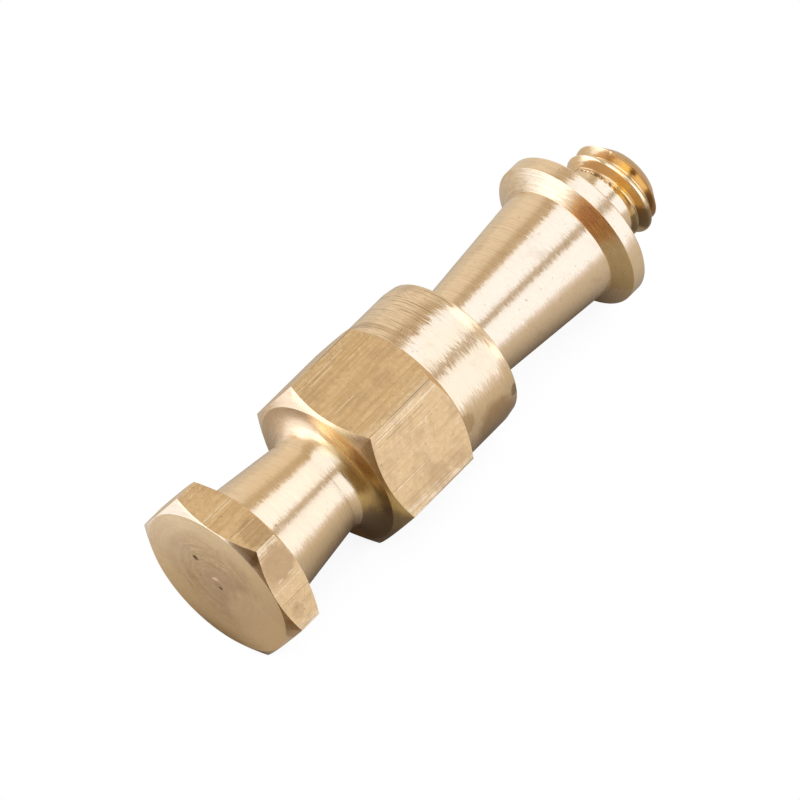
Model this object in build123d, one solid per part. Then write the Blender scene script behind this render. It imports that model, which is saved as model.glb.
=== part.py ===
from build123d import *
import math
import os

# Hexagonal stud adapter, turned in one piece from hexagon bar.  A thin hexagon
# head, a tapered neck, a hexagon body, a round collar, a second tapered neck, a
# round flange and a short male screw thread follow one another along one axis.
# It lies on a hexagon flat, its axis along +X with the thread towards +X.
# Millimetres.

# ---- driving dimensions -----------------------------------------------------
across_flats = 16.0          # hexagon bar; the head and the body keep its flats

head_length = 3.8            # end face to back face
head_face_d = 15.9           # round face left inside the head's chamfers
head_chamfer_angle = 30.0    # from the end plane, at both ends of the head

neck_length = 11.3           # first neck, head to body
neck_d_at_head = 12.25
neck_d_at_body = 9.55
neck_fillet = 1.0            # turned-in corner at the body

body_length = 10.35          # hexagon body over its chamfers
body_face_d = 15.3           # end face at the first neck
body_face_angle = 34.0       # chamfer beside it, from the end plane
body_back_angle = 39.0       # chamfer beside the collar

collar_length = 6.95         # plain round part behind the body
collar_d = 15.7
collar_lead = 1.2            # length of the slight taper at the collar's end
collar_lead_drop = 0.2       # and how far it falls

waist_length = 15.25         # second neck, collar to flange
waist_d_at_collar = 9.54
waist_d_at_flange = 12.15
waist_fillet = 0.8           # turned-in corner at the collar

flange_d = 15.9
flange_cone_angle = 30.0     # cone under the flange, from the end plane
flange_rim = 1.5             # straight rim
flange_edge = 0.15           # chamfer at the seating face

thread_pitch = 25.4 / 16     # 3/8 inch, 16 threads per inch, right-handed
thread_major_d = 9.5
thread_root_d = 7.6
thread_root_flat = 0.28      # width of the groove's floor
thread_flank_angle = 30.0    # each flank, from square to the axis
thread_length = 6.95         # seating face to the tip
thread_start = 1.0           # groove's first turn, from the seating face
thread_phase = -35.0         # and the angle it starts at about the axis
relief_length = 4.2          # undercut behind the thread, over its shoulder
relief_d = 7.5
relief_shoulder_angle = 45.0
tip_chamfer_angle = 45.0     # from the end plane
tip_face_d = 6.5

stub_d = 0.9                 # stub left by parting off, centred on the head's face
stub_height = 0.12

# ---- stations along the axis, from the head's end face ----------------------
flat_r = across_flats / 2
corner_r = flat_r / math.cos(math.radians(30))


def run(rise, angle):
    """Axial length of a cone that rises this far, its angle from the end plane."""
    return rise * math.tan(math.radians(angle))


head_run = run(corner_r - head_face_d / 2, head_chamfer_angle)
body_face_run = run(corner_r - body_face_d / 2, body_face_angle)
body_back_run = run(corner_r - collar_d / 2, body_back_angle)
cone_run = run((flange_d - waist_d_at_flange) / 2, flange_cone_angle)
shoulder_run = run((thread_major_d - relief_d) / 2, relief_shoulder_angle)
tip_run = run((thread_major_d - tip_face_d) / 2, tip_chamfer_angle)

z_head = head_length
z_body = z_head + neck_length
z_collar = z_body + body_length
z_waist = z_collar + collar_length
z_flange = z_waist + waist_length
z_rim = z_flange + cone_run
z_seat = z_rim + flange_rim + flange_edge
z_relief = z_seat + relief_length
z_tip = z_seat + thread_length

# ---- turned profile: radius, station ----------------------------------------
profile = [
    (0, 0),
    (head_face_d / 2, 0),
    (corner_r, head_run),
    (corner_r, z_head - head_run),
    (head_face_d / 2, z_head),
    (neck_d_at_head / 2, z_head),
    (neck_d_at_body / 2, z_body),
    (body_face_d / 2, z_body),
    (corner_r, z_body + body_face_run),
    (corner_r, z_collar - body_back_run),
    (collar_d / 2, z_collar),
    (collar_d / 2, z_waist - collar_lead),
    (collar_d / 2 - collar_lead_drop, z_waist),
    (waist_d_at_collar / 2, z_waist),
    (waist_d_at_flange / 2, z_flange),
    (flange_d / 2, z_rim),
    (flange_d / 2, z_rim + flange_rim),
    (flange_d / 2 - flange_edge, z_seat),
    (relief_d / 2, z_seat),
    (relief_d / 2, z_relief - shoulder_run),
    (thread_major_d / 2, z_relief),
    (thread_major_d / 2, z_tip - tip_run),
    (tip_face_d / 2, z_tip),
    (0, z_tip),
]
turned_in = [
    (neck_d_at_body / 2, z_body, neck_fillet),
    (waist_d_at_collar / 2, z_waist, waist_fillet),
]

# ---- turned and hexagonal body ----------------------------------------------
with BuildPart() as turned:
    with BuildSketch(Plane.XZ):
        with BuildLine():
            Polyline(profile, close=True)
        make_face()
        for radius, station, size in turned_in:
            fillet(vertices().sort_by_distance((radius, station, 0))[0], size)
    revolve(axis=Axis.Z)

with BuildPart() as bar:
    with BuildSketch():
        RegularPolygon(flat_r, 6, major_radius=False, rotation=30)
    extrude(amount=z_tip)

# stub where the finished stud parted from the bar
with BuildPart() as stub:
    with BuildSketch():
        Circle(stub_d / 2)
    extrude(amount=-stub_height)

# ---- thread groove: one turn of it, cut turn after turn ---------------------
root_r = thread_root_d / 2
groove_r = thread_major_d / 2 + 0.15          # cutter stands clear of the crests
groove_half = thread_root_flat / 2
groove_mouth = groove_half + run(groove_r - root_r, thread_flank_angle)

with BuildPart() as groove:
    with BuildSketch(Plane.XZ):
        with BuildLine():
            Polyline(
                (root_r, -groove_half),
                (groove_r, -groove_mouth),
                (groove_r, groove_mouth),
                (root_r, groove_half),
                close=True,
            )
        make_face()
    sweep(
        path=Helix(pitch=thread_pitch, height=thread_pitch, radius=root_r),
        is_frenet=True,
    )

# enough turns to run out past the tip
turns = math.ceil((thread_length - thread_start) / thread_pitch) + 1
threaded = turned.part
for turn in range(turns):
    station = z_seat + thread_start + turn * thread_pitch
    threaded -= Pos(0, 0, station) * Rot(0, 0, thread_phase) * groove.part

body = (threaded & bar.part) + stub.part

# ---- lie it on a flat: axis along +X, resting flat on z = 0 -----------------
part = Pos((stub_height - z_tip) / 2, 0, flat_r) * Rot(0, 90, 0) * body
part.label = "stud"

os.makedirs("parts", exist_ok=True)
export_step(part, "parts/stud.step")
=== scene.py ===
"""Turned brass stud: a hexagon head, two tapered necks, a hexagon body with a
round collar, a round flange and a short male screw thread, all one piece."""

from itertools import accumulate
from math import ceil, cos, hypot, pi, radians, sin, tan, tau
from types import SimpleNamespace

import bmesh
import bpy
from bpy.props import FloatProperty, FloatVectorProperty, IntProperty, PointerProperty
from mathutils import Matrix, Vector


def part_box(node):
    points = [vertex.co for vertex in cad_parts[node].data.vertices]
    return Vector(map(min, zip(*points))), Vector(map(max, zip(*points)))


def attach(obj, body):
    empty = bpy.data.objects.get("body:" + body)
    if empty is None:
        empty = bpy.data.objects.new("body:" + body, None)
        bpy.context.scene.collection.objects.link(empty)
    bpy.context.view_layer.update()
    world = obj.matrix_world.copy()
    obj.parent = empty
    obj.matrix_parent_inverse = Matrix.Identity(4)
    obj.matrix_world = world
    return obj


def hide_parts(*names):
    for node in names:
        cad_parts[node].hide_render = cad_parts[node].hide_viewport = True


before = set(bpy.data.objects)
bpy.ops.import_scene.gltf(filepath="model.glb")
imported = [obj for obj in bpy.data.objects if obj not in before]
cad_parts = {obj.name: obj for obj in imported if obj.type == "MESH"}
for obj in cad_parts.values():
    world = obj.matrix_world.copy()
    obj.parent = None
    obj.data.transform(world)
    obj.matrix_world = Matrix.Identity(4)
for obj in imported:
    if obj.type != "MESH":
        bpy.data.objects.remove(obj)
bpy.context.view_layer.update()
CAD_LOW, CAD_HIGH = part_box("stud")

bl_info = {
    "name": "Turned Hexagon Stud",
    "version": (1, 0, 0),
    "blender": (4, 5, 0),
    "location": "3D View > Sidebar > Stud",
    "description": "Models a turned hexagon stud in brass and its studio",
    "category": "Add Mesh",
}

MM = 0.001
QUARTER_TURN = radians(90)
TOUCH = 0.001 * MM  # points nearer than this are one
# the stud lies along X; its axis runs this high, through the middle of the box
AXIS = Vector((0.0, 0.0, (CAD_LOW.z + CAD_HIGH.z) / 2))


# ---- sizes and finish a user would change ----
def setting(kind, measure=None, **rules):
    """A maker of one kind of setting, by its name, description and default."""

    def make(name, description, default):
        if measure:
            default = measure(default)
        return kind(name=name, description=description, default=default, **rules)

    return make


length = setting(FloatProperty, lambda mm: mm * MM, unit="LENGTH", precision=5)
angle = setting(FloatProperty, radians, subtype="ANGLE")
share = setting(FloatProperty, min=0.0, soft_max=1.0, subtype="FACTOR")
brightness = setting(FloatProperty, min=0.0)
colour = setting(FloatVectorProperty, size=3, min=0.0, max=1.0, subtype="COLOR")


class StudSizes(bpy.types.PropertyGroup):
    across_flats: length("Across flats", "Hexagon bar, flat to flat", 16.0)
    bar_edge: length("Bar edge", "Width of the rounded long edges of the bar", 0.02)
    edge_break: length("Edge break", "Width of the soft line on sharp edges", 0.028)

    head_length: length("Head length", "End face to back face", 3.8)
    head_face_d: length("Head face", "Diameter of its face, inside the chamfers", 15.9)
    head_chamfer: angle("Head chamfer", "Chamfers' slope from the end plane", 30.0)

    neck_length: length("Neck length", "Head to body", 11.3)
    neck_d_head: length("Neck at head", "Neck diameter beside the head", 12.25)
    neck_d_body: length("Neck at body", "Neck diameter beside the body", 9.55)
    neck_fillet: length("Neck fillet", "Radius in the corner at the body", 2.2)

    body_length: length("Body length", "Hexagon body over its chamfers", 10.35)
    body_face_d: length("Body face", "Diameter of the body's front face", 15.3)
    body_front: angle("Body front chamfer", "Slope from the end plane", 34.0)
    body_back: angle("Body back chamfer", "Slope from the end plane", 39.0)

    collar_length: length("Collar length", "Plain round part behind the body", 6.95)
    collar_d: length("Collar", "Diameter of the collar", 15.7)
    collar_lead: length("Collar lead", "Length of the slight taper at its end", 1.2)
    collar_drop: length("Collar drop", "How far that taper falls", 0.2)

    waist_length: length("Waist length", "Collar to flange", 15.25)
    waist_d_collar: length("Waist at collar", "Diameter beside the collar", 9.54)
    waist_d_flange: length("Waist at flange", "Diameter beside the flange", 12.15)
    waist_fillet: length("Waist fillet", "Radius in the corner at the collar", 0.8)

    flange_d: length("Flange", "Diameter of the flange", 15.9)
    flange_cone: angle("Flange cone", "Slope of its underside from the end plane", 30.0)
    flange_rim: length("Flange rim", "Length of the straight rim", 1.5)
    flange_edge: length("Flange edge", "Chamfer at the seating face", 0.15)

    relief_length: length("Relief length", "Undercut behind the thread", 4.2)
    relief_d: length("Relief", "Diameter of the undercut", 7.5)
    relief_shoulder: angle("Relief shoulder", "Slope up to the thread", 45.0)
    thread_d: length("Thread", "Diameter over the crests", 9.5)
    thread_root_d: length("Thread root", "Diameter at the groove's floor", 7.6)
    thread_pitch: length("Thread pitch", "Crest to crest", 25.4 / 16)
    thread_floor: length("Groove floor", "Width of the groove's floor", 0.24)
    thread_flank: angle("Thread flank", "Slope of each flank from square", 28.0)
    crest_round: length("Crest rounding", "Depth over which the crests round off", 0.08)
    thread_length: length("Thread length", "Seating face to tip", 6.95)
    thread_start: length("Thread start", "Seating face to the groove's start", 1.0)
    thread_phase: angle("Thread phase", "Angle from the top that it starts at", 145.0)
    tip_chamfer: angle("Tip chamfer", "Slope from the end plane", 42.0)
    tip_face_d: length("Tip face", "Diameter of the tip's face", 6.5)

    stub_d: length("Stub", "Diameter of the stub left by parting off", 0.9)
    stub_height: length("Stub height", "How far the stub stands out", 0.12)
    pit_d: length("Pit", "Diameter of the small pit in the head's face", 0.32)
    facets: setting(IntProperty, min=48, max=360)(
        "Facets", "Facets round the turned shape", 240
    )


class StudFinish(bpy.types.PropertyGroup):
    brass: colour("Brass", "Colour of turned brass", (0.80, 0.62, 0.42))
    drawn: colour("Drawn brass", "Colour of the bar's drawn flats", (0.80, 0.55, 0.28))
    faced: colour("Faced brass", "Colour of the end faces", (0.73, 0.515, 0.285))
    thread: colour("Thread brass", "Colour of the fresh thread", (0.84, 0.58, 0.28))
    # also the colour of painted shade in some patches
    stain_and_shade: colour("Stain", "Colour of old stains", (0.44, 0.27, 0.13))
    blush: colour("Blush", "Coppery patch on the flange", (0.87, 0.50, 0.22))
    # painted colour: an orange reflection at the neck's root, and shade low on the
    # flange's cone
    painted_amber: colour("Amber", "Colour of the neck's root", (0.64, 0.43, 0.15))
    turned_rough: share("Turned roughness", "Roughness of turned faces", 0.17)
    drawn_rough: share("Drawn roughness", "Roughness of the flats", 0.28)
    shoulder_rough: share("Shoulder roughness", "Roughness of the cones", 0.24)
    faced_rough: share("Faced roughness", "Roughness of the end faces", 0.36)


class StudioSettings(bpy.types.PropertyGroup):
    lamp: colour("Lamps", "Colour of the soft lamps", (0.68, 0.785, 1.0))
    overhead: brightness("Overhead", "Brightness of the lamp overhead", 1.95)
    side: brightness("Side", "Brightness of the lamp at the side", 1.95)
    end: brightness("End", "Brightness of the lamp at the head's end", 1.95)
    tent: brightness("Tent", "Brightness of the pale walls all round", 1.0)


SETTINGS = {
    "stud_sizes": StudSizes, "stud_finish": StudFinish, "stud_studio": StudioSettings
}


# ---- tools ----
def clear_selection():
    if bpy.context.object and bpy.context.object.mode != "OBJECT":
        bpy.ops.object.mode_set(mode="OBJECT")
    bpy.ops.object.select_all(action="DESELECT")


def make_active(piece):
    clear_selection()
    piece.select_set(True)
    bpy.context.view_layer.objects.active = piece


def new_piece(name):
    piece = bpy.context.object
    piece.name = name
    piece.data.name = name
    return piece


def edit(piece):
    make_active(piece)
    bpy.ops.object.mode_set(mode="EDIT")


def settle():
    """Leaves edit mode and takes the active piece's placing into its mesh."""
    bpy.ops.object.mode_set(mode="OBJECT")
    bpy.ops.object.transform_apply(location=True, rotation=True, scale=True)


def pick(piece, kind, wanted):
    """Selects the elements of a piece in edit mode that a test wants."""
    bpy.ops.mesh.select_mode(type=kind)
    bpy.ops.mesh.select_all(action="DESELECT")
    shape = bmesh.from_edit_mesh(piece.data)
    found = {"VERT": shape.verts, "EDGE": shape.edges, "FACE": shape.faces}[kind]
    for element in found:
        if wanted(element):
            element.select_set(True)
    shape.select_flush_mode()
    bmesh.update_edit_mesh(piece.data)


def lift_out(step):
    """Extrudes what is selected by a step."""
    bpy.ops.mesh.extrude_region_move(TRANSFORM_OT_translate={"value": step})


def face_outwards():
    bpy.ops.mesh.select_all(action="SELECT")
    bpy.ops.mesh.normals_make_consistent(inside=False)
    bpy.ops.object.mode_set(mode="OBJECT")


def radius_of(point):
    return hypot(point.y - AXIS.y, point.z - AXIS.z)


def finish_with(piece, kind, **values):
    """Adds a modifier, sets it and applies it."""
    make_active(piece)
    modifier = piece.modifiers.new(kind.title(), kind)
    for key, value in values.items():
        setattr(modifier, key, value)
    bpy.ops.object.modifier_apply(modifier=modifier.name)


def cut(piece, tool, operation):
    finish_with(piece, "BOOLEAN", object=tool, operation=operation, solver="EXACT")
    bpy.data.objects.remove(tool)


def run(rise, slope):
    """Axial length of a cone that rises this far, sloped from the end plane."""
    return rise * tan(slope)


# ---- the stud ----
def stations(sz):
    """Axial places, from the head's end face, moved to the frame's X."""
    lengths = {
        "face": 0.0, "head": sz.head_length, "body": sz.neck_length,
        "collar": sz.body_length, "waist": sz.collar_length, "cone": sz.waist_length,
        "rim": run((sz.flange_d - sz.waist_d_flange) / 2, sz.flange_cone),
        "edge": sz.flange_rim, "seat": sz.flange_edge, "thread": sz.relief_length,
    }
    place = dict(zip(lengths, accumulate(lengths.values())))
    place["tip"] = place["seat"] + sz.thread_length
    shift = CAD_HIGH.x - place["tip"]
    return SimpleNamespace(**{name: x + shift for name, x in place.items()})


def profile(sz, at):
    """Corners of the turned profile: (x, radius, rounding)."""
    # the chamfers run on past the bar's corners, for the flats to cut
    outer = sz.across_flats * 0.6
    head_r = sz.head_face_d / 2
    head_run = run(outer - head_r, sz.head_chamfer)
    body_run = run(outer - sz.body_face_d / 2, sz.body_front)
    back_run = run(outer - sz.collar_d / 2, sz.body_back)
    shoulder_run = run((sz.thread_d - sz.relief_d) / 2, sz.relief_shoulder)
    tip_run = run((sz.thread_d - sz.tip_face_d) / 2, sz.tip_chamfer)
    stub = sz.stub_d / 2
    return [
        (at.face - sz.stub_height, 0.0, 0),
        (at.face - sz.stub_height, stub * 0.55, 0.05 * MM),
        (at.face - sz.stub_height * 0.35, stub, 0.05 * MM),
        (at.face, stub * 1.5, 0.2 * MM),
        (at.face, head_r, 0),
        (at.face + head_run, outer, 0),
        (at.head - head_run, outer, 0),
        (at.head, head_r, 0),
        (at.head, sz.neck_d_head / 2, 0.15 * MM),
        (at.body, sz.neck_d_body / 2, sz.neck_fillet),
        (at.body, sz.body_face_d / 2, 0.06 * MM),
        (at.body + body_run, outer, 0),
        (at.collar - back_run, outer, 0),
        (at.collar, sz.collar_d / 2, 0.1 * MM),
        (at.waist - sz.collar_lead, sz.collar_d / 2, 0.9 * MM),
        (at.waist, sz.collar_d / 2 - sz.collar_drop, 0.12 * MM),
        (at.waist, sz.waist_d_collar / 2, sz.waist_fillet),
        (at.cone, sz.waist_d_flange / 2, 0.15 * MM),
        (at.rim, sz.flange_d / 2, 0.1 * MM),
        (at.edge, sz.flange_d / 2, 0.05 * MM),
        (at.seat, sz.flange_d / 2 - sz.flange_edge, 0.05 * MM),
        (at.seat, sz.relief_d / 2, 0.3 * MM),
        (at.thread - shoulder_run, sz.relief_d / 2, 0.2 * MM),
        (at.thread, sz.thread_d / 2, 0),
        (at.tip - tip_run, sz.thread_d / 2, 0),
        (at.tip, sz.tip_face_d / 2, 0.08 * MM),
        (at.tip, 0.0, 0),
    ]


def turn_blank(sz, at):
    """The turned shape: a profile drawn point by point and spun about the axis."""
    corners = profile(sz, at)
    points = [Vector((x, 0.0, AXIS.z + radius)) for x, radius, _ in corners]
    clear_selection()
    bpy.ops.mesh.primitive_plane_add(size=MM, location=points[0], enter_editmode=True)
    bpy.ops.mesh.merge(type="CENTER")
    bpy.ops.mesh.select_mode(type="VERT")
    for start, end in zip(points, points[1:]):
        lift_out(end - start)
    blank = new_piece("stud_brass")
    settle()
    edit(blank)
    for before, here, after, corner in zip(points, points[1:], points[2:], corners[1:]):
        rounding = corner[2]
        if not rounding:
            continue
        turn = (here - before).angle(after - here)
        pick(blank, "VERT", lambda v: (v.co - here).length < TOUCH)
        bpy.ops.mesh.bevel(
            offset=rounding * tan(turn / 2), affect="VERTICES",
            segments=2 + int(turn * 5), profile=0.5,
        )

    bpy.ops.mesh.select_all(action="SELECT")
    bpy.ops.mesh.spin(
        steps=sz.facets, angle=tau, center=AXIS, axis=(1, 0, 0),
        use_auto_merge=True,
    )
    bpy.ops.mesh.select_all(action="SELECT")
    bpy.ops.mesh.remove_doubles(threshold=TOUCH / 2)
    face_outwards()
    return blank


def hexagon_bar(sz, at):
    """The drawn bar, its long edges rounded."""
    clear_selection()
    bpy.ops.mesh.primitive_cylinder_add(
        vertices=6, radius=sz.across_flats / 2 / cos(radians(30)),
        depth=(at.tip - at.face) * 1.2, location=AXIS,
        rotation=(0, QUARTER_TURN, 0),
    )
    bar = new_piece("bar")
    settle()
    edit(bar)
    pick(
        bar, "EDGE",
        lambda e: abs(e.verts[0].co.x - e.verts[1].co.x) > sz.across_flats,
    )
    bpy.ops.mesh.bevel(offset=sz.bar_edge, segments=4, affect="EDGES")
    bpy.ops.object.mode_set(mode="OBJECT")
    return bar


# the mouth of the groove flares in steps: (share of the rounding, slope in degrees)
CREST_STEPS = ((0.5, 48), (0.3, 66), (0.2, 80), (1.2, 20))
STEPS_PER_TURN = 96


def groove_cutter(sz, at):
    """The thread groove: its section, screwed along the axis."""
    root, floor = sz.thread_root_d / 2, sz.thread_floor / 2
    shoulder = sz.thread_d / 2 - sz.crest_round
    top = floor + run(shoulder - root, sz.thread_flank)
    turns = ceil((sz.thread_length - sz.thread_start) / sz.thread_pitch) + 1
    clear_selection()
    bpy.ops.mesh.primitive_plane_add(
        size=2 * floor, location=(0, 0, 0), rotation=(QUARTER_TURN, 0, 0),
        enter_editmode=True,
    )
    cutter = new_piece("groove")
    settle()
    edit(cutter)
    # widen the mouth and lift both edges to their radii
    for side, half, radius in ((1, top, shoulder), (-1, floor, root)):
        pick(cutter, "VERT", lambda v: v.co.z * side > floor / 2)
        bpy.ops.transform.resize(value=(half / floor, 1, 1))
        bpy.ops.transform.translate(value=(0, 0, radius - side * floor))
    # flare the mouth, so that the crests it leaves are rounded
    pick(cutter, "VERT", lambda v: v.co.z > shoulder - TOUCH)
    for part, slope in CREST_STEPS:
        rise = part * sz.crest_round
        wider = top + run(rise, radians(slope))
        lift_out((0, 0, rise))
        bpy.ops.transform.resize(value=(wider / top, 1, 1))
        top = wider
    bpy.ops.mesh.select_all(action="SELECT")
    bpy.ops.mesh.dissolve_faces()
    pick(cutter, "VERT", lambda v: v.co.z < root + floor)
    bpy.ops.mesh.bevel(offset=0.08 * MM, segments=3, affect="VERTICES")
    finish_with(
        cutter, "SCREW", axis="X", angle=tau * turns,
        screw_offset=sz.thread_pitch * turns, steps=STEPS_PER_TURN * turns,
        render_steps=STEPS_PER_TURN * turns, use_merge_vertices=False,
    )
    edit(cutter)
    bpy.ops.mesh.select_all(action="SELECT")
    bpy.ops.mesh.fill_holes(sides=0)
    face_outwards()
    cutter.rotation_euler = (sz.thread_phase, 0, 0)
    cutter.location = (at.seat + sz.thread_start, AXIS.y, AXIS.z)
    settle()
    return cutter


def tear_stub(stud, sz, at):
    """Pulls the stub to one side, as parting off tore it."""
    edit(stud)
    for depth, pull in ((0.9, 0.16), (0.3, 0.10)):
        pick(stud, "VERT", lambda v: (
            v.co.x < at.face - depth * sz.stub_height and radius_of(v.co) < sz.stub_d
        ))
        bpy.ops.transform.translate(value=(0, pull * sz.stub_d, pull * sz.stub_d))
    bpy.ops.object.mode_set(mode="OBJECT")


def face_pit(sz, at):
    """A ball that leaves a small pit in the head's face."""
    clear_selection()
    bpy.ops.mesh.primitive_uv_sphere_add(
        segments=24, ring_count=12, radius=sz.pit_d * 0.62,
        location=(at.face - sz.pit_d * 0.37, 2.38 * MM, AXIS.z + 1.81 * MM),
    )
    ball = new_piece("pit")
    bpy.ops.transform.resize(value=(1, 1.4, 0.8))
    settle()
    return ball


class OBJECT_OT_stud_add(bpy.types.Operator):
    """Turn the stud from hexagon bar and cut its thread"""

    bl_idname = "object.stud_add"
    bl_label = "Add Stud"
    bl_options = {"REGISTER", "UNDO"}

    def execute(self, context):
        sz = context.scene.stud_sizes
        at = stations(sz)
        stud = turn_blank(sz, at)
        tear_stub(stud, sz, at)
        cut(stud, face_pit(sz, at), "DIFFERENCE")
        cut(stud, hexagon_bar(sz, at), "INTERSECT")
        cut(stud, groove_cutter(sz, at), "DIFFERENCE")
        finish_with(
            stud, "BEVEL", width=sz.edge_break, segments=2,
            limit_method="ANGLE", angle_limit=radians(28),
        )
        make_active(stud)
        bpy.ops.object.shade_smooth_by_angle(angle=radians(40))
        finish_with(stud, "WEIGHTED_NORMAL", mode="FACE_AREA", keep_sharp=True)
        dress(stud, sz, at, context.scene.stud_finish)
        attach(stud, "root")
        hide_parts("stud")
        return {"FINISHED"}


# ---- materials ----
class Graph:
    """Adds nodes to a node tree and links them as they come."""

    def __init__(self, tree):
        self.tree = tree

    def node(self, kind, *inputs, **settings):
        node = self.tree.nodes.new("ShaderNode" + kind)
        named = settings.pop("inputs", {})
        for key, value in settings.items():
            setattr(node, key, value)
        for key, value in [*enumerate(inputs), *named.items()]:
            self.feed(node.inputs[key], value)
        return node

    def feed(self, socket, value):
        if value is None:
            return
        if isinstance(value, bpy.types.NodeSocket):
            self.tree.links.new(value, socket)
        elif isinstance(value, bpy.types.Node):
            self.tree.links.new(value.outputs[0], socket)
        else:
            socket.default_value = value

    def feed_all(self, sockets, **values):
        for name, value in values.items():
            self.feed(sockets[name.replace("_", " ")], value)

    def group(self, tree, **inputs):
        """The outputs of a shared group; spaces in its inputs' names are _ here."""
        node = self.node("Group", node_tree=tree)
        self.feed_all(node.inputs, **inputs)
        return node.outputs

    def math(self, operation, *inputs):
        return self.node("Math", *inputs, operation=operation).outputs[0]

    def times(self, first, second):
        return self.math("MULTIPLY", first, second)

    def vector(self, operation, *inputs):
        node = self.node("VectorMath", *inputs, operation=operation)
        is_number = operation in ("DOT_PRODUCT", "DISTANCE")
        return node.outputs["Value" if is_number else "Vector"]

    def scaled(self, vector, factor):
        return self.node(
            "VectorMath", vector, operation="SCALE", inputs={"Scale": factor}
        ).outputs["Vector"]

    def spread(self, value, low, high, to_low=0.0, to_high=1.0):
        """A value from low to high (or falling, when low is the greater of the two),
        eased on to another range."""
        return self.node(
            "MapRange", value, low, high, to_low, to_high,
            interpolation_type="SMOOTHSTEP",
        ).outputs[0]

    def facing(self, vector, way, low, high):
        """How far a vector runs this way, eased from low to high."""
        return self.spread(self.vector("DOT_PRODUCT", vector, way), low, high)

    def blend(self, factor, first, second):
        node = self.node("Mix", data_type="RGBA")
        self.feed_all(node.inputs, Factor=factor, A=first, B=second)
        return node.outputs["Result"]

    def place(self):
        """Where the point lies on the piece, in millimetres."""
        return self.scaled(self.node("TexCoord").outputs["Object"], 1 / MM)

    def noise(self, place, scale, detail, roughness=0.5, **more):
        """Cloudy noise, in four dimensions when it is given a W."""
        return self.node(
            "TexNoise", place, noise_dimensions="4D" if "W" in more else "3D",
            inputs={"Scale": scale, "Detail": detail, "Roughness": roughness, **more},
        ).outputs[0]

    def leaned(self, normal, *leans):
        """A normal leaned to and fro: each lean is (direction, noise, amount)."""
        for direction, noise, amount in leans:
            swing = self.times(
                self.math("SUBTRACT", noise, 0.5), self.times(amount, 6.0)
            )
            normal = self.vector("ADD", normal, self.scaled(direction, swing))
        return self.vector("NORMALIZE", normal)


def shared_group(inputs, outputs):
    """For a function that fills a node group: makes the group once, with these
    sockets, and shares it after that. Inputs are numbers, by name with their
    defaults, or vectors, which have none; outputs are names with their kinds."""

    def mark(fill):
        def group():
            tree = bpy.data.node_groups.get(fill.__name__)
            if tree:
                return tree
            tree = bpy.data.node_groups.new(fill.__name__, "ShaderNodeTree")

            def socket(name, side, kind):
                return tree.interface.new_socket(
                    name, in_out=side, socket_type="NodeSocket" + kind
                )

            for name, default in inputs.items():
                if default is None:
                    socket(name, "INPUT", "Vector")
                else:
                    socket(name, "INPUT", "Float").default_value = default
            for name, kind in outputs.items():
                socket(name, "OUTPUT", kind)
            start = tree.nodes.new("NodeGroupInput").outputs
            end = tree.nodes.new("NodeGroupOutput").inputs
            fill(Graph(tree), start, end)
            return tree

        return group

    return mark


@shared_group(
    {}, {"Along": "Float", "Radius": "Float", "Out": "Vector", "Round": "Vector"}
)
def lathe_space(graph, start, end):
    """Where a point lies for the lathe: along the axis, out from it and round it."""
    place = graph.vector(
        "SUBTRACT", graph.node("TexCoord").outputs["Object"], tuple(AXIS)
    )
    along, y, z = graph.node("SeparateXYZ", graph.scaled(place, 1 / MM)).outputs
    radius = graph.math(
        "SQRT", graph.math("ADD", graph.times(y, y), graph.times(z, z))
    )
    over = graph.math("DIVIDE", 1.0, graph.math("MAXIMUM", radius, 0.001))
    out_y, out_z = graph.times(y, over), graph.times(z, over)
    graph.feed_all(
        end, Along=along, Radius=radius,
        Out=graph.node("CombineXYZ", 0.0, out_y, out_z),
        Round=graph.node("CombineXYZ", 0.0, graph.times(out_z, -1.0), out_y),
    )


@shared_group(
    {
        "Normal": None, "Rings per mm": 4.0, "Fibres per mm": 6.0, "Sway": 0.04,
        "Tilt": 0.04,
    },
    {"Ring": "Float", "Fibre": "Float", "Side": "Float", "Normal": "Vector"},
)
def turning_marks(graph, start, end):
    """Marks of the lathe tool, running round the axis: rings, finer fibres, and the
    face leaned by them."""
    space = graph.group(lathe_space())
    _, out_y, out_z = graph.node("SeparateXYZ", space["Out"]).outputs

    def lines(density, reach, seed, detail):
        """Noise drawn out round the axis; reach is its pitch round a unit circle."""
        place = graph.node(
            "CombineXYZ",
            graph.math("MULTIPLY_ADD", space["Along"], density, seed),
            graph.times(space["Radius"], density), graph.times(out_y, reach),
        )
        return graph.noise(place, 1.0, detail, 0.65, W=graph.times(out_z, reach))

    fibre = lines(start["Fibres per mm"], 7.0, 77.0, 1.5)
    wave = lines(start["Rings per mm"], 1.6, 31.0, 1.0)
    up_profile = graph.vector("CROSS_PRODUCT", start["Normal"], space["Round"])
    graph.feed_all(
        end, Ring=lines(start["Rings per mm"], 0.9, 0.0, 2.0), Fibre=fibre,
        # a mask of the upper far side, where the rings show most in the light and get
        # their heaviest painted shade
        Side=graph.facing(space["Out"], (0.0, 0.80, 0.60), 0.35, 0.80),
        Normal=graph.leaned(
            start["Normal"], (space["Round"], fibre, start["Sway"]),
            (up_profile, wave, start["Tilt"]),
        ),
    )


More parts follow.
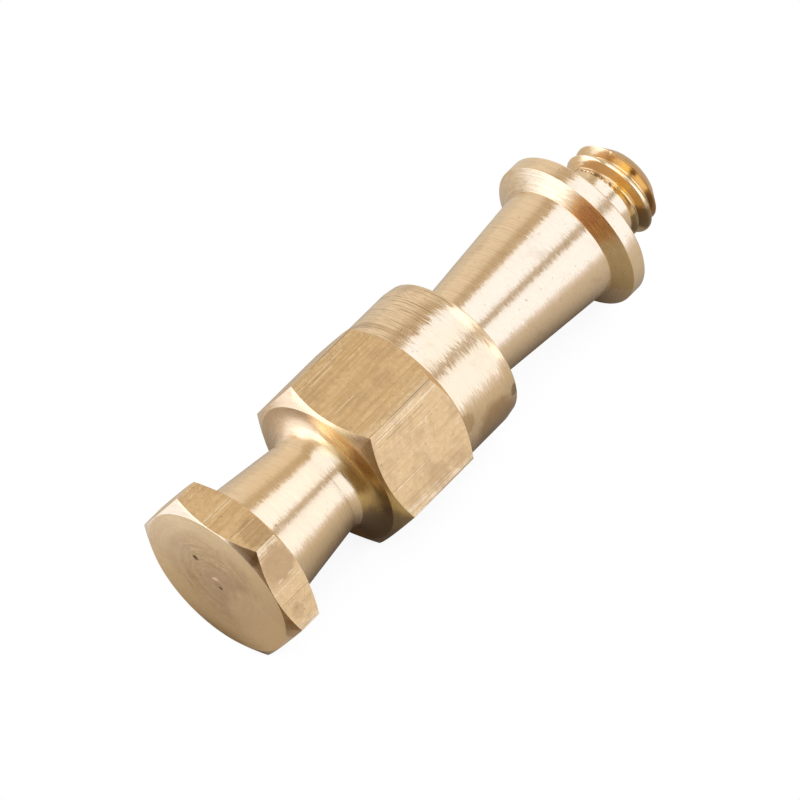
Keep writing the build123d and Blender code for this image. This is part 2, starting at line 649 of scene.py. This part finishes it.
@shared_group(
    {"Normal": None, "Streaks per mm": 3.0, "Tilt": 0.02},
    {"Streak": "Float", "Bright": "Float", "Dark": "Float", "Normal": "Vector"},
)
def drawn_marks(graph, start, end):
    """Marks along the bar from drawing: soft streaks, bright and dark scratches,
    and a few hairlines across them."""
    space = graph.group(lathe_space())
    _, out_y, out_z = graph.node("SeparateXYZ", space["Out"]).outputs
    place = graph.node(
        "CombineXYZ", space["Along"], graph.times(out_y, space["Radius"]),
        graph.times(out_z, space["Radius"]),
    )
    density = start["Streaks per mm"]
    soft = graph.noise(
        graph.vector(
            "MULTIPLY", place, graph.node("CombineXYZ", 0.16, density, density)
        ),
        1.0, 3.0, 0.6,
    )

    def streaks(density, length, seed, detail, slant=0.0):
        turned = graph.node(
            "VectorRotate", rotation_type="AXIS_ANGLE",
            inputs={"Vector": place, "Axis": start["Normal"], "Angle": slant},
        )
        stretched = graph.node(
            "Mapping", turned,
            inputs={"Location": (seed, seed, 0.0), "Scale": (length, density, density)},
        )
        return graph.noise(stretched, 1.0, detail, 0.6)

    def scratched(along, along_band, across, across_band):
        """Scratches along the bar, or weaker hairlines across it."""
        return graph.math(
            "MAXIMUM", graph.spread(along, *along_band),
            graph.times(graph.spread(across, *across_band), 0.6),
        )

    # the bar rubs on its long edges, so most marks lie beside them
    by_edge = graph.times(graph.spread(space["Radius"], 8.45, 9.05), 0.18)
    graph.feed_all(
        end, Streak=soft,
        Bright=scratched(
            graph.math("ADD", streaks(5.0, 0.10, 53.0, 1.5), by_edge), (0.645, 0.735),
            streaks(8.0, 0.5, 17.0, 0.0, 0.35), (0.78, 0.84),
        ),
        Dark=scratched(
            streaks(6.5, 0.14, 91.0, 0.5), (0.67, 0.73),
            streaks(8.0, 0.9, 29.0, 0.0, -0.9), (0.76, 0.82),
        ),
        Normal=graph.leaned(start["Normal"], (space["Round"], soft, start["Tilt"])),
    )


@shared_group(
    {"Size mm": 1.6, "Spread": 0.5},
    {"Blotch": "Float", "Mottle": "Float", "Speck": "Float"},
)
def old_stains(graph, start, end):
    """What handling and coolant leave: soft blotches, a fine mottle and specks."""
    place = graph.place()
    per_mm = graph.math("DIVIDE", 1.0, start["Size mm"])
    edge = graph.math("SUBTRACT", 0.75, graph.times(start["Spread"], 0.4))
    graph.feed_all(
        end,
        Blotch=graph.spread(
            graph.noise(place, per_mm, 5.0, 0.6, Distortion=0.4),
            graph.math("SUBTRACT", edge, 0.12), graph.math("ADD", edge, 0.12),
        ),
        Mottle=graph.spread(graph.noise(place, 2.2, 3.0, 0.6), 0.35, 0.65),
        Speck=graph.spread(graph.noise(place, 3.4, 1.0, 0.6), 0.70, 0.76),
    )


@shared_group({"Strength": 0.6}, {"Edge": "Float"})
def worn_edges_and_highlight(graph, start, end):
    """Edges rubbed bright, and a painted highlight along them, more in some places than
    in others.
    """
    rounded = graph.node("Bevel", samples=4, inputs={"Radius": 0.10 * MM})
    sharp = graph.node("NewGeometry").outputs["True Normal"]
    edge = graph.times(graph.facing(rounded, sharp, 0.995, 0.93), start["Strength"])
    patchy = graph.spread(graph.noise(graph.place(), 1.3, 3.0), 0.3, 0.6, 0.35, 1.0)
    graph.feed_all(end, Edge=graph.times(edge, patchy))


@shared_group({"Centre mm": None, "Reach mm": 1.0}, {"Patch": "Float"})
def tarnish_and_light_patch(graph, start, end):
    """One patch of colour, for tarnish and for painted light and shade: where it lies,
    and how far it reaches.
    """
    place, reach = graph.place(), start["Reach mm"]
    away = graph.vector("DISTANCE", place, start["Centre mm"])
    near = graph.math("SUBTRACT", 1.0, graph.math("DIVIDE", away, reach))
    ragged = graph.noise(place, graph.math("DIVIDE", 3.4, reach), 4.0, 0.65)
    graph.feed_all(end, Patch=graph.spread(
        graph.math("ADD", near, graph.times(ragged, 0.7)), 0.35, 0.75
    ))


BRIGHT_SCRATCH = (0.98, 0.84, 0.60)
# pale brass of rubbed edges, partly a painted highlight
RUBBED_AND_HIGHLIGHT = (1.0, 0.90, 0.68)
GOLDEN_HIGHLIGHT = (0.79, 0.585, 0.355)  # painted yellower highlight where the turned faces catch the side lamp


def dimmed(colour, share):
    return [c * share for c in colour]


class Brass(Graph):
    """One finish of the brass, built up coat by coat on its colour and gloss."""

    def __init__(self, name, colour, roughness):
        self.material = bpy.data.materials.new(name)
        self.material.use_nodes = True
        super().__init__(self.material.node_tree)
        self.normal = self.node("NewGeometry").outputs["Normal"]
        self.marked_normal = self.normal
        self.colour = colour
        self.tint = (*colour, 1)
        self.rough = roughness

    def coat(self, mask, amount, colour):
        self.tint = self.blend(self.times(mask, amount), self.tint, (*colour, 1))

    def darken(self, mask, amount, depth=0.45):
        """Towards a deeper, redder brass."""
        redder = zip(self.colour, (0.8, 1.0, 1.25))
        self.coat(mask, amount, [c * depth**power for c, power in redder])

    def roughen(self, mask, amount):
        self.rough = self.math("MULTIPLY_ADD", mask, amount, self.rough)

    def turned(self, rings, fibres, sway, tilt, shade, depth=0.45):
        """Turning marks: rings and fibres per mm, and how far they lean the face."""
        marks = self.group(
            turning_marks(), Normal=self.normal, Rings_per_mm=rings,
            Fibres_per_mm=fibres, Sway=sway, Tilt=tilt,
        )
        # the rings and dashes are real marks; their darkening is painted shade in the
        # grooves, faint all round and heaviest on the upper far side
        ring = self.spread(marks["Ring"], 0.475, 0.385)
        self.darken(ring, shade * 0.14)
        self.darken(self.times(ring, marks["Side"]), shade, depth)
        dash = self.spread(marks["Fibre"], 0.49, 0.38)
        self.darken(self.times(dash, marks["Side"]), shade * 0.45)
        self.roughen(self.spread(marks["Fibre"], 0.35, 0.65), 0.07)
        self.marked_normal = marks["Normal"]

    def drawn(self, streaks, tilt, shade, scratches):
        """Drawing marks: streaks per mm, and how strong streaks and scratches are."""
        marks = self.group(
            drawn_marks(), Normal=self.normal, Streaks_per_mm=streaks, Tilt=tilt
        )
        self.darken(self.spread(marks["Streak"], 0.60, 0.35), shade, 0.7)
        self.darken(marks["Dark"], scratches, 0.5)
        self.coat(marks["Bright"], scratches, BRIGHT_SCRATCH)
        self.roughen(marks["Bright"], -0.08)
        self.marked_normal = marks["Normal"]

    def stained(self, size, spread, blotches, mottle, specks, stain_and_shade):
        """Stains of a size in mm; the next is how much they cover, the rest how
        strong each kind is."""
        found = self.group(old_stains(), Size_mm=size, Spread=spread)
        self.darken(found["Mottle"], mottle, 0.75)
        self.coat(found["Blotch"], blotches, stain_and_shade)
        self.coat(found["Speck"], specks, dimmed(stain_and_shade, 0.35))
        self.roughen(found["Blotch"], 0.10 * blotches)

    # paler edges: partly rubbed wear, partly a painted highlight along them
    def wear_and_highlight(self, strength):
        self.coat(self.group(worn_edges_and_highlight(), Strength=strength)["Edge"], 1.0, RUBBED_AND_HIGHLIGHT)

    def swirled(self, inner, outer, shade):
        """Short arcs round the middle of a faced end, fading out towards its rim."""
        marks = self.group(
            turning_marks(), Normal=self.normal, Rings_per_mm=1.9, Fibres_per_mm=2.7
        )
        radius = self.group(lathe_space())["Radius"]
        middle = self.spread(radius, inner, outer, 1.0, 0.12)
        for arcs, part in (("Ring", 1.0), ("Fibre", 0.6)):
            dull = self.spread(marks[arcs], 0.56, 0.36)
            self.darken(self.times(dull, middle), shade * part, 0.6)
            lit = self.spread(marks[arcs], 0.58, 0.70)
            self.coat(
                self.times(lit, middle), shade * part * 0.8, (0.92, 0.76, 0.52)
            )

    def ringed(self, inner, outer, amount, colour, along=None):
        """A coat on all that lies further out than a radius, and, where along is
        given, fades in between those two places on the axis."""
        space = self.group(lathe_space())
        mask = self.spread(space["Radius"], inner, outer)
        if along:
            mask = self.times(mask, self.spread(space["Along"], *along))
        self.coat(mask, amount, colour)

    def ragged_line(self, along, width, amount, colour):
        """A torn line round the top of the piece, where two cuts meet."""
        space = self.group(lathe_space())
        away = self.math("ABSOLUTE", self.math("SUBTRACT", space["Along"], along))
        near = self.spread(away, width, width * 0.4)
        beads = self.spread(self.noise(self.place(), 3.6, 1.0), 0.46, 0.56)
        upper = self.facing(space["Out"], (0.0, 0.26, 0.96), 0.55, 0.85)
        self.coat(self.times(self.times(near, beads), upper), amount, colour)

    def scratches(self, lines, width, amount, colour):
        """Long scratches along the axis, broken here and there. Each is given by
        where it runs, across and up, and where it starts and ends."""
        place = self.place()
        flat = self.vector("MULTIPLY", place, (0.0, 1.0, 1.0))
        along = self.group(lathe_space())["Along"]
        found = 0.0
        for across, up, first, last in lines:
            away = self.vector("DISTANCE", flat, (0.0, across, up))
            fading = self.times(
                self.spread(along, first, first + 0.25),
                self.spread(along, last, last - 0.25),
            )
            line = self.times(self.spread(away, width, width * 0.4), fading)
            found = self.math("MAXIMUM", found, line)
        broken = self.spread(self.noise(place, 1.6, 2.0), 0.30, 0.52)
        self.coat(self.times(found, broken), amount, colour)

    def patch(self, centre, reach, amount, colour, rough=0.0):
        """A patch of colour, for tarnish and for painted light and shade; its centre
        and reach are in mm.
        """
        mask = self.group(tarnish_and_light_patch(), Centre_mm=centre, Reach_mm=reach)["Patch"]
        self.coat(mask, amount, colour)
        if rough:
            self.roughen(mask, rough)

    def patches(self, *spots):
        for spot in spots:
            self.patch(*spot)

    def done(self):
        self.feed_all(
            self.tree.nodes["Principled BSDF"].inputs, Metallic=1.0,
            Base_Color=self.tint, Roughness=self.rough, Normal=self.marked_normal,
        )
        return self.material


def turned_brass(finish):
    """Necks, waist and flange rim: a fine, bright cut."""
    stain_and_shade = finish.stain_and_shade
    brass = Brass("turned_brass", finish.brass, finish.turned_rough)
    brass.turned(rings=8.5, fibres=11.0, sway=0.030, tilt=0.034, shade=0.24)
    brass.stained(2.6, 0.25, blotches=0.25, mottle=0.10, specks=0.3, stain_and_shade=stain_and_shade)
    brass.patches(
        # a painted yellower highlight on the neck, where it catches the side lamp
        ((-19.0, -3.6, 12.5), 8.0, 0.65, GOLDEN_HIGHLIGHT),
        ((-23.3, -2.8, 13.4), 0.22, 0.6, dimmed(stain_and_shade, 0.6)),
        ((-22.3, -2.7, 13.5), 0.18, 0.6, dimmed(stain_and_shade, 0.6)),
    )
    brass.wear_and_highlight(0.4)
    return brass.done()


def collar_brass(finish):
    """The collar: a coarser feed, with rings that can be felt."""
    stain_and_shade = finish.stain_and_shade
    brass = Brass("collar_brass", finish.brass, finish.turned_rough)
    brass.turned(rings=5.6, fibres=8.5, sway=0.055, tilt=0.050, shade=0.64, depth=0.28)
    brass.stained(2.2, 0.35, blotches=0.35, mottle=0.10, specks=0.4, stain_and_shade=stain_and_shade)
    brass.patches(
        # a painted yellower highlight on the collar, where it catches the side lamp
        ((0.2, -6.3, 12.6), 7.5, 0.65, GOLDEN_HIGHLIGHT),
        ((-3.0, -7.5, 10.3), 1.3, 0.55, stain_and_shade),
        ((0.6, -7.6, 7.4), 3.0, 0.7, stain_and_shade),
        ((3.6, -7.8, 8.9), 0.9, 0.8, dimmed(stain_and_shade, 0.7)),
    )
    brass.wear_and_highlight(0.6)
    return brass.done()


def shoulder_brass(finish):
    """Cones, shoulders and fillets, where the tool left a duller face."""
    stain_and_shade = finish.stain_and_shade
    brass = Brass("shoulder_brass", finish.brass, finish.shoulder_rough)
    brass.turned(rings=5.0, fibres=6.5, sway=0.02, tilt=0.03, shade=0.22)
    brass.stained(1.8, 0.3, blotches=0.3, mottle=0.15, specks=0.3, stain_and_shade=stain_and_shade)
    brass.patches(
        # a coppery blush on the flange's cone, with painted shade lower down
        ((19.7, -3.6, 13.6), 3.1, 0.95, finish.blush),
        ((19.7, -7.0, 9.0), 4.6, 0.6, finish.painted_amber),
        ((19.6, -3.2, 14.2), 1.3, 0.38, (0.46, 0.19, 0.10)),
        # painted orange reflection round the root of the head's neck, painted shade
        # below it
        ((-13.4, -4.9, 8.2), 7.0, 0.85, finish.painted_amber),
        ((-13.4, -4.2, 2.8), 6.0, 0.75, (0.34, 0.235, 0.115)),
        ((-13.3, -7.2, 5.0), 5.0, 0.75, (0.28, 0.20, 0.125)),
        # a painted golden reflection above it, and a painted highlight at the top of
        # the fillet
        ((-13.6, 4.0, 13.2), 6.5, 0.6, (0.78, 0.52, 0.30)),
        ((-13.4, -1.4, 14.6), 2.6, 0.75, (0.94, 0.74, 0.42)),
        # painted shade on the corners of the head's bevel
        ((-28.3, -3.7, 15.8), 2.2, 0.85, dimmed(stain_and_shade, 0.75)),
        ((-28.2, -8.9, 8.0), 1.9, 0.6, stain_and_shade),
    )
    brass.wear_and_highlight(0.7)
    return brass.done()


def drawn_brass(finish):
    """The hexagon's flats as the bar was drawn."""
    stain_and_shade = finish.stain_and_shade
    brass = Brass("drawn_brass", finish.drawn, finish.drawn_rough)
    brass.drawn(streaks=3.4, tilt=0.016, shade=0.40, scratches=0.62)
    brass.stained(1.7, 0.45, blotches=0.32, mottle=0.50, specks=0.35, stain_and_shade=stain_and_shade)
    brass.patches(
        # on the head's flats
        ((-26.6, -5.8, 13.9), 2.3, 0.62, stain_and_shade),
        ((-26.2, -3.2, 16.0), 2.0, 0.55, stain_and_shade),
        ((-27.2, -8.3, 9.6), 0.9, 0.40, stain_and_shade),
        # on the body's
        ((-8.2, -8.6, 9.1), 1.6, 0.35, stain_and_shade),
        ((-5.6, -8.7, 8.9), 1.0, 0.30, stain_and_shade),
        ((-8.0, -6.3, 13.1), 0.9, 0.20, stain_and_shade),
        ((-6.7, -1.1, 16.0), 1.4, 0.22, stain_and_shade),
    )
    # painted dark line along a stretch of the body's long edges, standing in for the
    # reflection of their rounding
    brass.ringed(9.16, 9.21, 0.7, dimmed(stain_and_shade, 0.6), along=(-11.0, -8.0))
    bright_lines = (
        (1.1, 16.0, -28.4, -24.9), (0.8, 16.0, -27.6, -24.9),
        (-2.1, 16.0, -28.2, -25.2), (-6.6, 12.6, -28.0, -25.4),
        (3.7, 16.0, -12.9, -6.4), (3.2, 16.0, -12.0, -8.2),
        (-0.4, 16.0, -12.6, -9.6), (-5.0, 15.3, -12.4, -4.6),
    )
    dark_lines = (
        (3.45, 16.0, -12.2, -8.6), (-1.8, 16.0, -28.3, -25.6),
        (-5.25, 14.9, -12.4, -6.0),
    )
    brass.scratches(bright_lines, 0.075, 0.55, BRIGHT_SCRATCH)
    brass.scratches(dark_lines, 0.075, 0.5, dimmed(stain_and_shade, 0.7))
    brass.wear_and_highlight(0.15)
    return brass.done()


def faced_brass(finish):
    """The end faces, faced off across the bar."""
    stain_and_shade = finish.stain_and_shade
    brass = Brass("faced_brass", finish.faced, finish.faced_rough)
    brass.turned(rings=4.5, fibres=4.0, sway=0.03, tilt=0.025, shade=0.14)
    brass.swirled(inner=2.8, outer=6.0, shade=0.78)
    brass.stained(2.4, 0.5, blotches=0.3, mottle=0.35, specks=0.15, stain_and_shade=stain_and_shade)
    brass.patch((-28.6, -1.4, 7.0), 4.4, 0.6, (0.58, 0.40, 0.25))
    brass.ringed(5.0, 6.6, 0.35, (0.84, 0.62, 0.34))
    # painted light low on the near side of the face, painted shade on its far side
    brass.patch((-28.7, -4.7, 6.0), 4.4, 0.5, (0.86, 0.62, 0.36))
    brass.patch((-28.7, 5.6, 9.4), 4.2, 0.45, (0.62, 0.44, 0.26))
    brass.wear_and_highlight(0.6)
    # darker and duller in the pit, and a painted shadow beside the stub
    brass.patch((-28.6, 2.38, 9.81), 0.40, 0.9, dimmed(stain_and_shade, 0.4), rough=0.35)
    brass.patch((-28.7, -0.38, 7.5), 0.30, 0.9, dimmed(stain_and_shade, 0.4), rough=0.35)
    return brass.done()


def thread_brass(finish, at, sz):
    """The thread, cut last and still bright; its crests are painted pale, a painted
    highlight.
    """
    stain_and_shade = finish.stain_and_shade
    crest, tip, thread = sz.thread_d / 2 / MM, at.tip / MM, at.thread / MM
    brass = Brass("thread_brass", finish.thread, finish.turned_rough)
    brass.turned(rings=7.0, fibres=7.0, sway=0.03, tilt=0.03, shade=0.18)
    brass.stained(1.2, 0.3, blotches=0.3, mottle=0.15, specks=0.4, stain_and_shade=stain_and_shade)
    # a painted highlight along the crests, fading out before the tip
    brass.ringed(
        crest - 0.14, crest - 0.04, 0.8, (0.93, 0.77, 0.52),
        along=(tip - 1.3, tip - 1.6),
    )
    brass.patches(
        # duller on its far side
        ((26.0, 3.5, 11.0), 5.0, 0.45, (0.72, 0.53, 0.37)),
        # heat marks on the flanks
        ((27.1, -2.2, 12.0), 0.75, 0.9, dimmed(stain_and_shade, 0.7)),
        ((24.9, -1.6, 12.0), 0.8, 0.5, stain_and_shade),
        # a painted orange reflection on the flanks
        ((25.1, -2.3, 11.6), 1.2, 0.7, (0.95, 0.62, 0.16)),
        ((26.6, -1.4, 12.1), 1.0, 0.6, (0.95, 0.64, 0.22)),
        # painted shade low on the near side
        ((25.7, -4.4, 7.8), 2.2, 0.85, dimmed(stain_and_shade, 0.5)),
        ((27.2, -4.6, 8.6), 1.9, 0.7, dimmed(stain_and_shade, 0.6)),
        # darker just before the thread starts
        ((24.3, -3.6, 10.5), 1.5, 0.55, (0.55, 0.38, 0.21)),
    )
    brass.ragged_line(thread - 0.95, 0.24, 0.9, dimmed(stain_and_shade, 0.6))
    # the tip's chamfer is the deepest in colour
    brass.coat(
        brass.spread(brass.group(lathe_space())["Along"], tip - 1.3, tip - 1.1),
        0.85, (0.50, 0.26, 0.08),
    )
    brass.wear_and_highlight(0.5)
    return brass.done()


def dress(piece, sz, at, finish):
    """Gives each face the finish that its tool left on it."""
    edge = 0.05 * MM
    flat = sz.across_flats / 2
    sides = [
        Vector((0, sin(radians(a)), cos(radians(a))))
        for a in range(0, 360, 60)
    ]

    def is_shoulder(middle, normal):
        return abs(normal.x) > 0.3

    def is_collar(middle, normal):
        return (
            at.collar - 2 * edge < middle.x < at.waist and abs(normal.x) < 0.3
        )

    def is_flat(middle, normal):
        return (
            abs(normal.x) < 0.02 and middle.x < at.collar
            and radius_of(middle) > flat * 0.95
            and any(abs(normal.dot(side) - 1) < 1e-3 for side in sides)
        )

    def is_faced(middle, normal):
        is_end = not at.face + edge < middle.x < at.tip - edge
        in_pit = middle.x < at.face + 8 * edge and radius_of(middle) < 4 * MM
        return in_pit or (is_end and abs(normal.x) > 0.98)

    def is_thread(middle, normal):
        return (
            at.thread - 1.2 * MM < middle.x < at.tip - edge
            and radius_of(middle) < sz.thread_d / 2 + 0.01 * MM
        )

    # each covers what it wants of the ones before
    finishes = (
        (turned_brass(finish), lambda middle, normal: True),
        (shoulder_brass(finish), is_shoulder),
        (collar_brass(finish), is_collar),
        (drawn_brass(finish), is_flat),
        (faced_brass(finish), is_faced),
        (thread_brass(finish, at, sz), is_thread),
    )
    for slot, (material, wanted) in enumerate(finishes):
        piece.data.materials.append(material)
        for face in piece.data.polygons:
            if wanted(face.center, face.normal):
                face.material_index = slot


# ---- studio ----
PAINTED_SHADE = (0.26, 0.18, 0.10, 1)  # painted shade off the head, on the camera's side


def soft_lamp(name, size, brightness, tint, location, rotation):
    bpy.ops.object.light_add(type="AREA", location=location, rotation=rotation)
    lamp = new_piece(name)
    lamp.data.shape = "RECTANGLE"
    lamp.data.size, lamp.data.size_y = size
    # watts that give the panel this brightness to the eye
    lamp.data.energy = brightness * pi * size[0] * size[1]
    lamp.data.color = tint
    lamp.visible_camera = False


def floor_paint():
    """Pale paint. To the camera and in the metal it is lit from within, with a painted
    shadow that darkens it close to the stud."""
    paint = bpy.data.materials.new("floor_paint")
    paint.use_nodes = True
    nodes = paint.node_tree.nodes
    graph = Graph(paint.node_tree)
    shader = nodes["Principled BSDF"]
    graph.feed_all(
        shader.inputs, Base_Color=(0.8, 0.8, 0.8, 1), Roughness=1.0,
        Specular_IOR_Level=0.0,
    )
    rays = graph.node("LightPath").outputs
    place = graph.node("TexCoord").outputs["Object"]
    along, across, _ = graph.node("SeparateXYZ", place).outputs

    open_sky = graph.node(
        "AmbientOcclusion", samples=8, inputs={"Distance": 0.06}
    ).outputs["AO"]
    # a painted shadow round the stud, as the metal sees it, deeper on the camera's side
    # and lifted just off the head's end
    level = graph.times(
        graph.math("POWER", open_sky, 2.3),
        graph.spread(across, -0.03, 0.015, 0.85, 0.95),
    )
    level = graph.math(
        "MAXIMUM", level, graph.spread(along, -0.0303, -0.0280, 0.60, 0.0)
    )
    in_metal = graph.blend(level, (0.07, 0.04, 0.02, 1), (0.88, 0.83, 0.74, 1))
    # painted pools of light on the floor, beside the camera and off the head
    beside = graph.spread(across, -0.045, -0.09)
    in_metal = graph.blend(beside, in_metal, (0.96, 0.94, 1.02, 1))
    off_head = graph.times(
        graph.facing(place, (-0.766, 0.643, 0.0), 0.027, 0.048),
        graph.spread(along, 0.004, -0.018),
    )
    in_metal = graph.blend(off_head, in_metal, (1.30, 1.45, 1.75, 1))
    # painted shade off the head, on the camera's side, as the metal sees it
    painted_shade_mask = graph.times(
        graph.facing(place, (0.2, 1.0, 0.0), -0.008, -0.016),
        graph.spread(along, -0.030, -0.037),
    )
    in_metal = graph.blend(painted_shade_mask, in_metal, PAINTED_SHADE)
    # a faint painted shadow near the stud, as the camera sees it
    to_camera = graph.blend(
        graph.spread(open_sky, 0.0, 0.5), (0.88, 0.88, 0.88, 1), (1, 1, 1, 1)
    )
    to_eye = rays["Is Camera Ray"]
    glow = graph.node(
        "Emission", graph.blend(to_eye, in_metal, to_camera), inputs={"Strength": 1.0}
    )
    mirrored = graph.math(
        "MAXIMUM", rays["Is Glossy Ray"], rays["Is Transmission Ray"]
    )
    painted = graph.node(
        "MixShader", graph.math("MAXIMUM", to_eye, mirrored), shader, glow
    )
    # and from below the stud shows through it
    below = graph.times(to_eye, graph.node("NewGeometry").outputs["Backfacing"])
    surface = graph.node("MixShader", below, painted, graph.node("BsdfTransparent"))
    graph.feed_all(nodes["Material Output"].inputs, Surface=surface)
    return paint


def tent(world, studio):
    """Pale walls all round: their colour goes by the angle about the stud's axis,
    with a dark side where the camera stands. The camera sees plain white."""
    world.use_nodes = True
    world.node_tree.nodes.clear()
    graph = Graph(world.node_tree)
    way = graph.node("TexCoord").outputs["Generated"]
    along, across, up = graph.node("SeparateXYZ", way).outputs
    # 0 is overhead, -90 the wall behind the stud, 90 the wall beside the camera
    round_axis = graph.math("ARCTAN2", graph.times(across, -1.0), up)
    ramp = graph.node(
        "ValToRGB", graph.math("MULTIPLY_ADD", round_axis, 1 / tau, 0.5)
    )
    stops = ramp.color_ramp.elements
    wall, dim, gap = (0.99, 0.93, 0.84), (0.67, 0.57, 0.42), (0.58, 0.50, 0.40)
    unlit = (0.0, 0.0, 0.0)  # behind the lamps
    walls = (
        (-180, wall), (-52, wall), (-42, dim), (-21, dim), (-20, unlit),
        (26, unlit), (27, gap), (42, gap), (43, unlit), (180, unlit),
    )
    while len(stops) < len(walls):
        stops.new(0.5)
    for stop, (degrees, tone) in zip(stops, walls):
        stop.position = degrees / 360 + 0.5
        stop.color = (*tone, 1)
    # past the ends of the lamps the walls are pale again
    off_head = graph.times(along, -1.0)
    ends = graph.math(
        "MAXIMUM", graph.spread(along, 0.66, 0.72), graph.spread(off_head, 0.66, 0.72)
    )
    walls_lit = graph.blend(ends, ramp.outputs[0], (0.88, 0.82, 0.72, 1))
    # but brown beside the side lamp's near end, where the bench runs on
    bench = graph.times(
        graph.spread(off_head, 0.26, 0.32),
        graph.spread(round_axis, radians(34), radians(40)),
    )
    walls_lit = graph.blend(bench, walls_lit, (0.34, 0.23, 0.12, 1))
    # and the same painted shade going up behind the camera
    heading, rise = radians(-150), radians(-15)
    painted_shade_side = (cos(heading) * cos(rise), sin(heading) * cos(rise), sin(rise))
    dark = graph.facing(way, painted_shade_side, cos(radians(49)), cos(radians(43)))
    lit = graph.node(
        "Background", graph.blend(dark, walls_lit, PAINTED_SHADE),
        inputs={"Strength": studio.tent},
    )
    white = graph.node("Background", (1, 1, 1, 1), inputs={"Strength": 1.0})
    to_eye = graph.node("LightPath").outputs["Is Camera Ray"]
    graph.feed_all(
        graph.node("OutputWorld").inputs,
        Surface=graph.node("MixShader", to_eye, lit, white),
    )


class SCENE_OT_stud_studio_add(bpy.types.Operator):
    """Set out the pale floor, the soft lamps and the camera"""

    bl_idname = "scene.stud_studio_add"
    bl_label = "Add Studio"
    bl_options = {"REGISTER", "UNDO"}

    def execute(self, context):
        scene = context.scene
        studio = scene.stud_studio
        clear_selection()

        bpy.ops.mesh.primitive_plane_add(size=3.0, location=(0, 0, -0.02 * MM))
        floor = new_piece("floor")
        floor.data.materials.append(floor_paint())

        # each lamp lies along the stud; its edges are angles about the axis
        high = 0.5
        near, far = (-high * tan(radians(a)) for a in (27, -21))
        soft_lamp(
            "overhead_lamp", (1.1, far - near), studio.overhead, studio.lamp,
            (0.05, (near + far) / 2, high), (0, 0, 0),
        )
        soft_lamp(
            "side_lamp", (0.75, 0.56), studio.side, studio.lamp,
            (0.235, -high, 0.285), (QUARTER_TURN, 0, 0),
        )
        heading = radians(135)
        soft_lamp(
            "end_lamp", (0.5, 0.3), studio.end, studio.lamp,
            (0.5 * cos(heading), 0.5 * sin(heading), 0.15),
            (QUARTER_TURN, 0, heading + QUARTER_TURN),
        )

        scene.world = scene.world or bpy.data.worlds.new("tent")
        tent(scene.world, studio)

        bpy.ops.object.camera_add(
            location=(CAD_LOW.x - 0.26165875, -0.27440, 0.54996),
            rotation=[radians(a) for a in (36.14412, 2.75288, -50.04072)],
        )
        camera = bpy.context.object
        camera.name = "camera"
        camera.data.lens = 337.163
        camera.data.sensor_width = 36.0
        scene.camera = camera
        scene.view_settings.view_transform = "Standard"
        return {"FINISHED"}


class VIEW3D_PT_stud(bpy.types.Panel):
    bl_label = "Turned Stud"
    bl_idname = "VIEW3D_PT_stud"
    bl_space_type = "VIEW_3D"
    bl_region_type = "UI"
    bl_category = "Stud"

    def draw(self, context):
        layout = self.layout
        layout.operator(SCENE_OT_stud_studio_add.bl_idname)
        layout.operator(OBJECT_OT_stud_add.bl_idname)
        for group in SETTINGS:
            settings = getattr(context.scene, group)
            column = layout.column(align=True)
            for name in settings.__annotations__:
                column.prop(settings, name)


CLASSES = (
    *SETTINGS.values(), OBJECT_OT_stud_add, SCENE_OT_stud_studio_add, VIEW3D_PT_stud
)


def register():
    for item in CLASSES:
        bpy.utils.register_class(item)
    for name, group in SETTINGS.items():
        setattr(bpy.types.Scene, name, PointerProperty(type=group))


def unregister():
    for name in SETTINGS:
        delattr(bpy.types.Scene, name)
    for item in reversed(CLASSES):
        bpy.utils.unregister_class(item)


def main():
    register()
    bpy.ops.scene.stud_studio_add()
    bpy.ops.object.stud_add()


if __name__ == "__main__":
    main()
